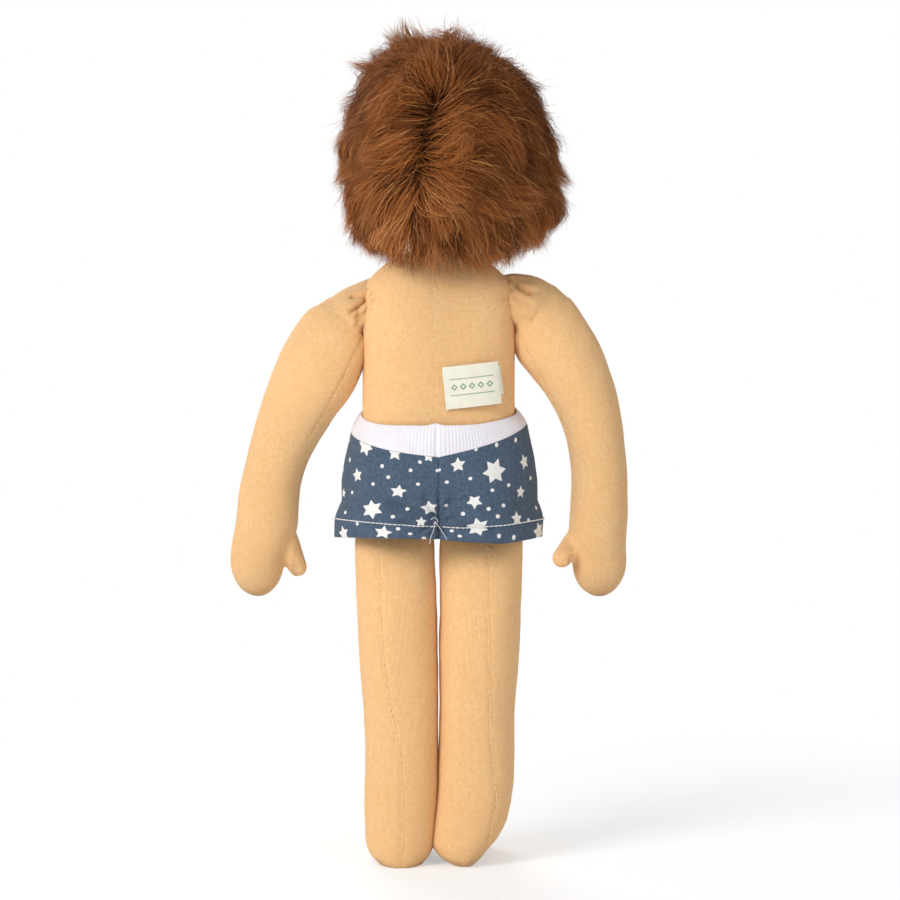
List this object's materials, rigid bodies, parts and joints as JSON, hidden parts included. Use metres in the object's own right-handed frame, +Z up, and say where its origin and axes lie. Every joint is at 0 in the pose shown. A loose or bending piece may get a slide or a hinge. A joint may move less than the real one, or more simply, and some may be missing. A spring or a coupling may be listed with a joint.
{
  "type": "waldorf doll",
  "caption": "Soft stuffed doll with a round head, fur hair, mitten hands and turned feet, in printed shorts with a ribbed waistband.",
  "frame": {"origin": "middle of the outline seen from above, at the height of the soles", "axes": "+Z up along the standing doll, +X to the doll's left, -Y to its front"},
  "size_m": [0.1806, 0.0982, 0.3802],
  "materials": {
    "skin_jersey": "fine cotton jersey knit",
    "wool": "carded wool filling",
    "gauze": "tubular cotton gauze",
    "skin_thread": "matte cotton thread",
    "white_thread": "matte cotton thread",
    "eye_thread": "embroidery thread",
    "mouth_thread": "embroidery thread",
    "fur": "long pile fur, soft sheen",
    "star_print": "printed cotton jersey with stars and dots",
    "rib_knit": "white rib knit",
    "label_cloth": "woven label cloth"
  },
  "bodies": {
    "torso": {"torso_skin": "skin_jersey", "torso_wool": "wool", "back_seam_thread": "skin_thread", "front_label": "label_cloth", "care_label": "label_cloth", "waistband": "rib_knit", "left_shorts_panel": "star_print", "right_shorts_panel": "star_print", "left_hem_stitch": "white_thread", "right_hem_stitch": "white_thread", "left_hip_seam_thread": "skin_thread", "right_hip_seam_thread": "skin_thread"},
    "neck": {"neck_tie_thread": "skin_thread"},
    "head": {"head_skin": "skin_jersey", "inner_head_tube": "gauze", "head_wool": "wool", "eye_line_thread": "white_thread", "left_eye": "eye_thread", "right_eye": "eye_thread", "mouth": "mouth_thread", "left_fur_panel": "fur", "right_fur_panel": "fur"},
    "left_shoulder": {"left_shoulder_thread": "skin_thread"},
    "left_arm": {"left_arm_skin": "skin_jersey", "left_arm_wool": "wool"},
    "right_shoulder": {"right_shoulder_thread": "skin_thread"},
    "right_arm": {"right_arm_skin": "skin_jersey", "right_arm_wool": "wool"},
    "left_leg": {"left_leg_skin": "skin_jersey", "left_leg_wool": "wool", "left_ankle_stitch": "skin_thread"},
    "right_leg": {"right_leg_skin": "skin_jersey", "right_leg_wool": "wool", "right_ankle_stitch": "skin_thread"}
  },
  "joints": [
    {"name": "head_turn", "type": "hinge", "parent": "torso", "child": "neck", "pos_m": [-0.00441, -0.00392, 0.28108], "axis": [0, 0, 1], "range_deg": [-30, 30]},
    {"name": "head_nod", "type": "hinge", "parent": "neck", "child": "head", "pos_m": [-0.00441, -0.00392, 0.28108], "axis": [1, 0, 0], "range_deg": [-15, 15]},
    {"name": "left_arm_swing", "type": "hinge", "parent": "torso", "child": "left_shoulder", "pos_m": [0.03009, -0.00392, 0.254], "axis": [-1, 0, 0], "range_deg": [-50, 110]},
    {"name": "left_arm_lift", "type": "hinge", "parent": "left_shoulder", "child": "left_arm", "pos_m": [0.03209, -0.00392, 0.2648], "axis": [0, -1, 0], "range_deg": [0, 75]},
    {"name": "right_arm_swing", "type": "hinge", "parent": "torso", "child": "right_shoulder", "pos_m": [-0.03891, -0.00392, 0.2556], "axis": [-1, 0, 0], "range_deg": [-50, 110]},
    {"name": "right_arm_lift", "type": "hinge", "parent": "right_shoulder", "child": "right_arm", "pos_m": [-0.04091, -0.00392, 0.2664], "axis": [0, 1, 0], "range_deg": [0, 75]},
    {"name": "left_hip", "type": "hinge", "parent": "torso", "child": "left_leg", "pos_m": [0.01588, -0.00392, 0.164], "axis": [-1, 0, 0], "range_deg": [-25, 90], "deforming": ["left_shorts_panel", "left_hem_stitch"]},
    {"name": "right_hip", "type": "hinge", "parent": "torso", "child": "right_leg", "pos_m": [-0.02472, -0.00392, 0.164], "axis": [-1, 0, 0], "range_deg": [-25, 90], "deforming": ["right_shorts_panel", "right_hem_stitch"]}
  ]
}
